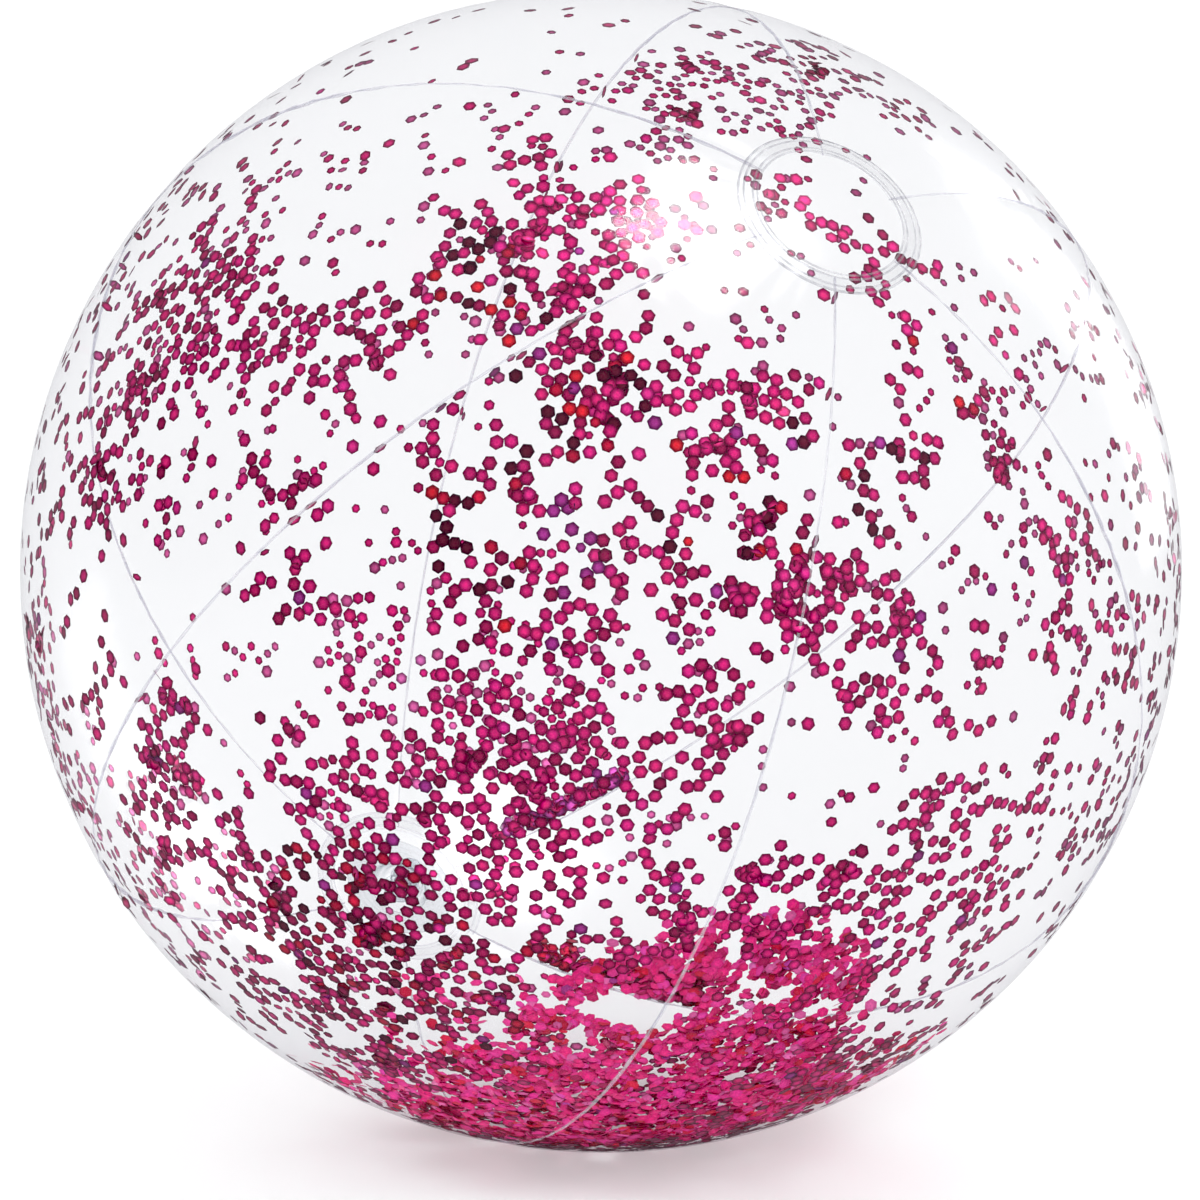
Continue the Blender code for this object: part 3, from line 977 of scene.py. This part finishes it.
def wall_spots(rng):
    """Directions of the flakes on the film, grown as short touching chains."""
    wanted = sum(density(random_way(rng)) for _ in range(4000)) / 4000
    wanted *= 4 * math.pi * BALL_R**2 / (1.5 * math.sqrt(3) * FLAKE_R**2)
    spots = []
    crowd = Crowd(FLAKE_R * CLOSEST)
    while len(spots) < wanted:
        way = random_way(rng)
        if rng.random() > 2 * density(way):
            continue
        heading = tangent(way, rng)
        for _ in range(1 + int(rng.expovariate(1 / CHAIN_LENGTH))):
            spot = way * BALL_R
            fits = crowd.free(spot) or rng.random() < STACKED
            if fits and not near_valve(way, VALVE_CLEAR):
                crowd.take(spot)
                spots.append(way.copy())
            heading = Matrix.Rotation(rng.gauss(0, CHAIN_TURN), 3, way) @ heading
            step = FLAKE_R * rng.uniform(*CHAIN_STEP) / BALL_R
            way = (way + heading * step).normalized()
            heading = (heading - heading.dot(way) * way).normalized()
            if rng.random() > 3 * density(way):
                break
    return spots


def flake_corners(centre, normal, rng, size):
    """Twelve rim corners and two middles of one dished hexagonal flake."""
    side = normal.orthogonal().normalized()
    side = Matrix.Rotation(rng.uniform(0, math.tau), 3, normal) @ side
    other = normal.cross(side)
    bend = rng.uniform(-1, 1) * FLAKE_DISH
    reach = FLAKE_R * size
    points = []
    for lift in (FLAKE_THICK / 2, -FLAKE_THICK / 2):
        points.append(centre + normal * (lift + bend))
        for i in range(6):
            angle = math.pi / 3 * i
            corner = side * math.cos(angle) + other * math.sin(angle)
            points.append(centre + corner * reach + normal * lift)
    return points


FLAKE_FACES = [(0, 1 + i, 1 + (i + 1) % 6) for i in range(6)]
FLAKE_FACES += [(7, 8 + (i + 1) % 6, 8 + i) for i in range(6)]
FLAKE_FACES += [(1 + i, 8 + i, 8 + (i + 1) % 6, 1 + (i + 1) % 6) for i in range(6)]


def vary(colour, rng):
    """The colour, a little lighter or darker."""
    scale = math.exp(rng.gauss(0, 0.16))
    return tuple(min(c * scale, 0.95) for c in colour)


def foil_colour(way, rng, lively):
    """A flake's own colour. lively is 0 on the film, 0.7 in its small piles and 1 in the heap."""
    roll = rng.random()
    blotch = noise.noise(way * 17.0) + 0.7 * noise.noise(way * 41.0) + rng.gauss(0, 0.16)
    if lively == 1 and abs(blotch) > 0.2:
        kinds = (BRIGHT, HOT_PINK) if blotch > -0.3 else (CRIMSON, CRIMSON, WINE, MAGENTA)
        return vary(rng.choice(kinds), rng)
    if roll < 0.75 * nearness(way, EMBER_SPOTS) * (1 - lively):
        return vary(rng.choice((RED, CRIMSON, MAROON, MAROON, WINE)), rng)
    # Painted shade: dark colours low on the left stand for the shadowed floor these flakes would
    # mirror.
    if roll < 0.8 * nearness(way, SHADED_SPOTS) * (1 - 0.6 * lively):
        return vary(rng.choice((CRIMSON, CRIMSON, WINE, WINE, MAROON)), rng)
    # Purple flakes; in the two far violet spots this purple is painted reflection of the film's
    # veil.
    if roll < 0.6 * nearness(way, VIOLET_SPOTS) * (1 - lively) or roll > 0.98:
        return vary(PURPLE, rng)
    if rng.random() < 0.25 + 0.6 * lively:
        return vary(HOT_PINK, rng)
    return vary(rng.choice((MAGENTA, MAGENTA, MAGENTA, WINE)), rng)


def pile_piece(name, flakes, look, body, rim):
    """One object from rows of (centre, normal, outer colour, inner colour, size).

    rim says how much painted shade darkens the flakes' rims, from 0 to 1.
    """
    rng = random.Random(name)
    points, faces, tints, uvs = [], [], [], []
    hexagon = [(math.cos(math.pi / 3 * i), math.sin(math.pi / 3 * i)) for i in range(6)]
    marks = [(0.0, 0.0)] + hexagon + [(0.0, 0.0)] + hexagon
    for centre, normal, outer, inner, size in flakes:
        start = len(points)
        points += flake_corners(centre, normal, rng, size * rng.uniform(*FLAKE_SIZES))
        edge = tuple(0.5 * c for c in outer)
        for number, face in enumerate(FLAKE_FACES):
            faces.append([start + i for i in face])
            colour = outer if number < 6 else inner if number < 12 else edge
            for i in face:
                tints += (*colour, rim)
                uvs += marks[i]
    mesh = bpy.data.meshes.new(name)
    mesh.from_pydata([tuple(p) for p in points], [], faces)
    mesh.materials.append(look)
    smooth(mesh, 30)
    tint = mesh.color_attributes.new("tint", "FLOAT_COLOR", "CORNER")
    tint.data.foreach_set("color", tints)
    mesh.uv_layers.new(name="flake").data.foreach_set("uv", uvs)
    mesh.transform(BALL)
    obj = linked(name, mesh)
    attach(obj, body)
    return obj


def seam_distance(way):
    """(distance to the nearest seam, unit vector away from it, its longitude)."""
    longitude = math.atan2(way.y, way.x)
    across = BALL_R * math.hypot(way.x, way.y)
    best = None
    for seam in SEAMS:
        apart = (longitude - seam + math.pi) % math.tau - math.pi
        if best is None or abs(apart) < abs(best[0]):
            best = (apart, seam)
    side = Vector((-math.sin(longitude), math.cos(longitude), 0))
    return abs(best[0]) * across, side * math.copysign(1, best[0]), best[1]


def lay_on_wall(way, rng):
    """(centre, normal) of a flake clinging to the film, or leaning on a seam's lip, or None."""
    capped = abs(way.z) > math.cos(PANEL_END)
    distance, away, seam = seam_distance(way)
    if distance < LEAN_REACH and not capped:
        if rng.random() < SEAM_EMPTY or way.dot(DOWN) > SWEPT:
            return None
        across = math.hypot(way.x, way.y)
        on_seam = Vector((across * math.cos(seam), across * math.sin(seam), way.z))
        centre = on_seam * (BALL_R - FILM - LEAN_REACH) + away * LEAN_OUT
        return centre, (away + tangent(away, rng) * rng.uniform(0, 0.2)).normalized()
    lift = FILM_GAP + rng.uniform(0, 0.3) * MM
    tilt = abs(rng.gauss(0, WALL_TILT))
    lift += math.sin(tilt) * FLAKE_R
    if near_valve(way, FLANGE_CLEAR):
        lift += FLANGE_LIFT
    centre = way * (BALL_R - FILM - lift + float(wall_offset_at(way)))
    return above_patch(centre, lift), tilted(way, tilt, rng)


def wall_offset_at(way):
    """The film's distance in or out from a true sphere at a direction."""
    number = panel_at(way)
    west = SEAMS[number]
    longitude = west + (math.atan2(way.y, way.x) - west) % math.tau
    down = math.acos(max(-1, min(1, way.z)))
    return wall_offset(np.array(down), np.array(longitude), number)


def wall_glitter(look):
    """The flakes that cling to the film, in one object for each panel."""
    rng = random.Random(WALL_SEED)
    groups = {number: [] for number in range(PANELS)}
    for way in wall_spots(rng):
        laid = lay_on_wall(way, rng)
        if laid is None:
            continue
        outer = foil_colour(way, rng, 0.0)
        # Painted light: half the inner faces are pale, as the far wall's flakes look when lit
        # through the ball.
        inner = vary(PALE if rng.random() < 0.5 else MAGENTA, rng)
        size = FINE_SIZE if rng.random() < fine_share(way) else 1.0
        groups[panel_at(way)].append((*laid, outer, inner, size))
    for flake in clots(rng) + ledges(rng):
        groups[panel_at(flake[0])].append(flake)
    for number, flakes in groups.items():
        pile_piece(f"clinging_glitter_{number + 1}", flakes, look, "shell", 1.0)


def ledges(rng):
    """Flakes that have slid down the wall and piled up against a seam's lip, as flake rows."""
    flakes = []
    for number, start, end, count, wide, colour in LEDGES:
        for _ in range(count):
            share = rng.betavariate(1.7, 1.7)
            down = math.radians(start + (end - start) * share)
            ragged = 1.0 + 0.9 * noise.noise(Vector((9 * share, number, 0)))
            away = min(abs(rng.gauss(0, wide * ragged)), 2.5 * wide) + 0.4 * MM
            seam = SEAMS[number]
            at_seam = Vector(spherical(1, down, seam))
            side = Vector((-math.sin(seam), math.cos(seam), 0))
            uphill = -1 if side.dot(DOWN) > 0 else 1
            way = (at_seam + side * (uphill * (away + FLAKE_R * 0.8) / BALL_R)).normalized()
            lift = rng.uniform(0.4, 1.7) * MM * math.exp(-away / wide / 1.5) + 0.35 * MM
            normal = tilted(way, abs(rng.gauss(0, LEDGE_TILT)), rng)
            outer = vary(colour if rng.random() < 0.5 else HOT_PINK, rng)
            inner = vary(colour if rng.random() < 0.6 else HOT_PINK, rng)
            flakes.append((way * (BALL_R - FILM - lift), normal, outer, inner, 1.0))
    return flakes


def clots(rng):
    """Small piles stuck to the film where it is thick with glitter, as flake rows."""
    flakes = []
    piles = 0
    while piles < CLOTS:
        middle = random_way(rng)
        if rng.random() > density(middle) ** 2 or middle.angle(DOWN) < CLOT_CLEAR:
            continue
        piles += 1
        step = CLOT_STEP if middle.dot(DOWN) < 0 else LOW_CLOT_STEP
        for layer in range(rng.randint(*CLOT_LAYERS)):
            way = (middle + tangent(middle, rng) * abs(rng.gauss(0, CLOT_R / BALL_R))).normalized()
            lift = CLOT_LIFT + step * layer
            normal = tilted(way, abs(rng.gauss(0, CLOT_TILT)), rng)
            outer = foil_colour(way, rng, 0.7)
            inner = vary(HOT_PINK, rng)
            flakes.append((way * (BALL_R - FILM - lift), normal, outer, inner, 1.0))
    return flakes


def heap_depth(way):
    """How deep the loose flakes lie at a direction, from 0 to 1."""
    depth = 0.0
    for azimuth, elevation, radius, amount in HEAP_PATCHES:
        angle = math.degrees(direction(azimuth, elevation).angle(way))
        depth = max(depth, amount * min(max((radius - angle) / 7 + 0.5, 0), 1))
    ragged = 0.9 + 1.3 * noise.noise(way * 11.0) + 0.8 * noise.noise(way * 29.0)
    return depth * ragged * outside_bare(way, 1.6)


def heap_glitter(look):
    """The loose flakes that have slid to the bottom, in layers clear of the seams' lips."""
    rng = random.Random(HEAP_SEED)
    flakes = []
    while len(flakes) < HEAP_FLAKES:
        angle = math.radians(HEAP_REACH) * math.sqrt(rng.random())
        way = Matrix.Rotation(angle, 3, tangent(DOWN, rng)) @ DOWN
        depth = heap_depth(way)
        if rng.random() > depth:
            continue
        thick = HEAP_THICK * min(depth, 1)
        centre = way * (BALL_R - HEAP_LIFT - rng.random() * thick)
        tilt = min(abs(rng.gauss(0, HEAP_TILT)), HEAP_TILT_MOST)
        centre = above_patch(centre, HEAP_GAP + math.sin(tilt) * FLAKE_R)
        normal = tilted(way, tilt, rng)
        outer = foil_colour(way, rng, 1.0)
        # Painted light: a few inner faces are pale, as flakes lit through the ball look.
        inner = foil_colour(way, rng, 1.0) if rng.random() < 0.92 else vary(PALE, rng)
        flakes.append((centre, normal, outer, inner, rng.choice((1.0, 1.0, FINE_SIZE))))
    half = len(flakes) // 2
    bottom = pile_piece("loose_glitter_a", flakes[:half], look, "glitter", HEAP_RIM_SHADE)
    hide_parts("glitter_heap")
    pile_piece("loose_glitter_b", flakes[half:], look, "glitter", HEAP_RIM_SHADE)


# -------- studio

CAMERA_AZIMUTH = -31.8
CAMERA_ELEVATION = 11.0
CAMERA_AWAY = 10.92 * BALL_R
CAMERA_LENS = 189.7
CAMERA_DROP = 0.0123  # how far below the ball's centre it aims, and how far to the left
CAMERA_SIDE = 0.0004
BLACK_LEVEL = 0.018
ROOM_LIGHT = 1.25
LEFT_WALL = 0.2
RIGHT_WALL = 1.5
MIRRORED = 0.4  # how much of the room and the floor the film mirrors
FLOOR_HALF = 14.0
FLOOR_DROP = 0.05 * MM
FLOOR_GLOW = 0.39


def view_axes():
    """The camera's right, up and back, as unit vectors."""
    back = outward(CAMERA_AZIMUTH, CAMERA_ELEVATION)
    right = outward(CAMERA_AZIMUTH + 90, 0)
    return right, back.cross(right), back


def camera():
    """The photo's view: the ball fills the square frame."""
    right, up, back = view_axes()
    data = bpy.data.cameras.new("camera")
    data.lens = CAMERA_LENS
    data.sensor_width = 36
    data.clip_start = 0.05
    data.clip_end = 100
    obj = linked("camera", data)
    place = Matrix((right, up, back)).transposed().to_4x4()
    aim = CENTRE - up * CAMERA_DROP - right * CAMERA_SIDE
    obj.matrix_world = Matrix.Translation(aim + back * CAMERA_AWAY) @ place
    bpy.context.scene.camera = obj


def softbox(name, way, away, width, height, radiance):
    """An area light seen from the ball in a direction given in the camera's axes."""
    right, up, back = view_axes()
    toward = (right * way[0] + up * way[1] + back * way[2]).normalized()
    data = bpy.data.lights.new(name, "AREA")
    data.shape = "RECTANGLE"
    data.size, data.size_y = width, height
    data.energy = radiance * math.pi * width * height
    obj = linked(name, data)
    obj.visible_diffuse = False
    turn = toward.to_track_quat("Z", "Y").to_matrix().to_4x4()
    obj.matrix_world = Matrix.Translation(CENTRE + toward * away) @ turn


def world():
    """A white room, darker toward its left wall, and dimmer in what the film mirrors."""
    made = bpy.data.worlds.new("studio")
    bpy.context.scene.world = made
    made.use_nodes = True
    n = Nodes(made.node_tree)
    way = n.add("ShaderNodeTexCoord", {}, "Generated")
    inputs = {0: way, 1: view_axes()[0]}
    sideways = n.add("ShaderNodeVectorMath", inputs, "Value", operation="DOT_PRODUCT")
    side = n.math("POWER", sideways, 3.0)
    left = n.spread(side, -1, 0, LEFT_WALL, 1.0)
    right = n.spread(side, 0, 1, 1.0, RIGHT_WALL)
    bright = n.spread(n.ray("Is Glossy Ray"), 0, 1, ROOM_LIGHT, ROOM_LIGHT * MIRRORED)
    room = n.math("MULTIPLY", n.math("MULTIPLY", left, right), bright)
    light = n.math("MAXIMUM", room, n.ray("Is Camera Ray"))
    sky = n.shader("ShaderNodeBackground", Color=(1, 1, 1, 1), Strength=light)
    n.out(sky, "ShaderNodeOutputWorld")


def studio_floor(look):
    """A wide flat table just under the ball."""
    corners = [(x * FLOOR_HALF, y * FLOOR_HALF, 0) for x, y in ((-1, -1), (1, -1), (1, 1), (-1, 1))]
    obj = piece("studio_floor", corners, [(0, 1, 2, 3)], [look])
    obj.location.z = -FLOOR_DROP


def main():
    """Everything in the scene, in order."""
    film, soft, glitter = clear_film(), clear_valve(), foil()
    weld, bead = weld_line("weld_line", 0.84), weld_line("weld_bead", 0.4)
    faint = weld_line("weld_faint", 0.95)
    other_end = BALL @ Matrix.Rotation(math.pi, 4, "X")
    for number in range(PANELS):
        film_panel(number, [film, weld])
    end_cap("cap_film_upper", "upper_end_cap", 0.0, BALL, [film, bead])
    end_cap("cap_film_lower", "lower_end_cap", RECESS_R, other_end, [film, faint])
    valve_flange(soft)
    valve_collar(soft)
    valve_stem(soft)
    valve_plug(soft)
    plug_strap(soft)
    check_flap(soft)
    wall_glitter(glitter)
    heap_glitter(glitter)
    studio_floor(floor_paint())
    world()
    softbox("key", (0.28, 0.88, 0.36), 2.2, 0.9, 0.9, 15.0)
    softbox("side", (0.66, 0.48, -0.58), 2.4, 0.8, 0.8, 13.0)
    softbox("rim", (0.66, -0.02, -0.75), 2.4, 1.0, 1.6, 4.5)
    camera()
    scene = bpy.context.scene
    view = scene.view_settings
    view.view_transform = "Standard"
    view.use_curve_mapping = True
    view.curve_mapping.black_level = (BLACK_LEVEL,) * 3
    view.curve_mapping.update()
    scene.cycles.transparent_max_bounces = 48
    scene.cycles.max_bounces = 10


main()
